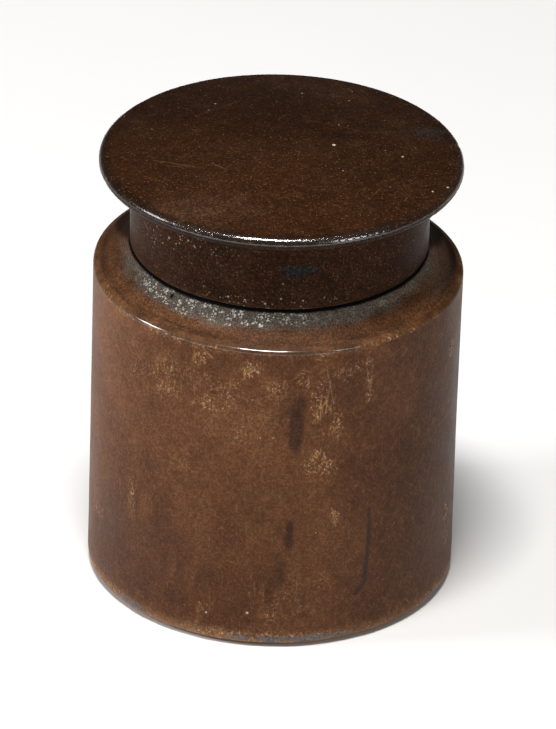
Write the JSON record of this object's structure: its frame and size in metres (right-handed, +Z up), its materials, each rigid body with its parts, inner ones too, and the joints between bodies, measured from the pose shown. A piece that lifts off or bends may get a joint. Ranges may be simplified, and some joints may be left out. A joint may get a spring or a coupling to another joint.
{
  "type": "shoe polish tin",
  "caption": "Round japanned-tinplate shoe polish tin: straight can, sloping shoulder, short neck and a mushroom lid with a cork wad that lifts off and turns on the neck; wax polish inside.",
  "frame": {"origin": "centre of the base, in the plane of the flat foot ring that the tin stands on", "axes": "+Z up along the tin's axis of revolution; the can's lapped side seam faces +Y; X completes the right-handed frame"},
  "size_m": [0.06, 0.06, 0.0762],
  "materials": {
    "japanned_can": "translucent brown japan lacquer over tinplate, satin, worn thin at the edges",
    "japanned_lid": "dark brown japan lacquer, glossy, finely crazed and scratched",
    "bare_tinplate": "tinned sheet, rubbed and dulled",
    "solder": "dull wiped tin solder",
    "iron_wire": "drawn iron wire",
    "cork": "natural cork, stained by polish",
    "polish_wax": "hard dark brown wax paste, satin, rubbed hollow in the middle"
  },
  "bodies": {
    "tin": {"body_wall": "japanned_can", "base_plate": "japanned_can", "base_seam_solder": "solder", "shoulder_ring": "japanned_can", "shoulder_seam_solder": "solder", "neck_collar": "bare_tinplate", "neck_rim_wire": "iron_wire", "neck_seam_solder": "solder", "wax_polish": "polish_wax"},
    "wad": {"cork_wad": "cork"},
    "lid": {"lid_skirt": "japanned_lid", "lid_top": "japanned_lid", "lid_seam_solder": "solder"}
  },
  "joints": [
    {"name": "lid_lift", "type": "slide", "parent": "tin", "child": "wad", "axis": [0, 0, 1], "range_m": [0, 0.035]},
    {"name": "lid_turn", "type": "hinge", "parent": "wad", "child": "lid", "pos_m": [0, 0, 0.0715], "axis": [0, 0, 1], "continuous": true}
  ]
}
